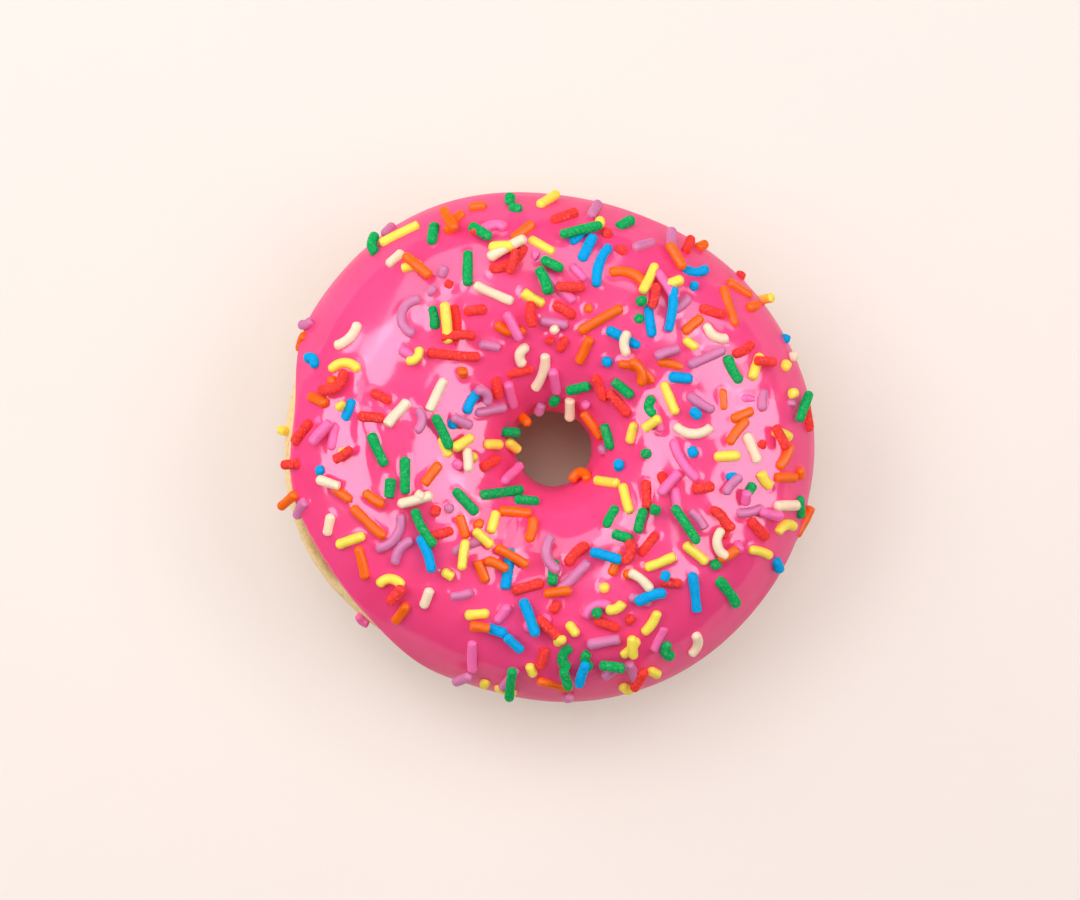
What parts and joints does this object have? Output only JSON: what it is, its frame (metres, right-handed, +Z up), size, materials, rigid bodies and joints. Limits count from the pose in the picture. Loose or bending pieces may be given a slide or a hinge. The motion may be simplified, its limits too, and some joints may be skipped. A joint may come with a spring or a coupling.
{
  "type": "sprinkle frosted doughnut",
  "caption": "Fried ring doughnut with glossy pink icing over its top and down into its hole, strewn with coloured sugar sprinkles.",
  "frame": {"origin": "on the table, under the middle of the whole doughnut", "axes": "+Z up, out of the iced top; +X to the right and +Y away when the iced top is seen from above"},
  "size_m": [0.0908, 0.0864, 0.0328],
  "materials": {
    "crust": "matte golden fried crust with a paler belt round its side",
    "icing": "glossy smooth pink icing",
    "green_sprinkles": "matte grainy sugar",
    "red_sprinkles": "matte grainy sugar",
    "yellow_sprinkles": "smooth satin sugar",
    "orange_sprinkles": "smooth satin sugar",
    "violet_sprinkles": "smooth satin sugar",
    "blue_sprinkles": "matte grainy sugar",
    "pink_sprinkles": "smooth satin sugar",
    "cream_sprinkles": "smooth satin sugar"
  },
  "bodies": {
    "root": {"dough": "crust", "icing": "icing"}
  },
  "joints": []
}
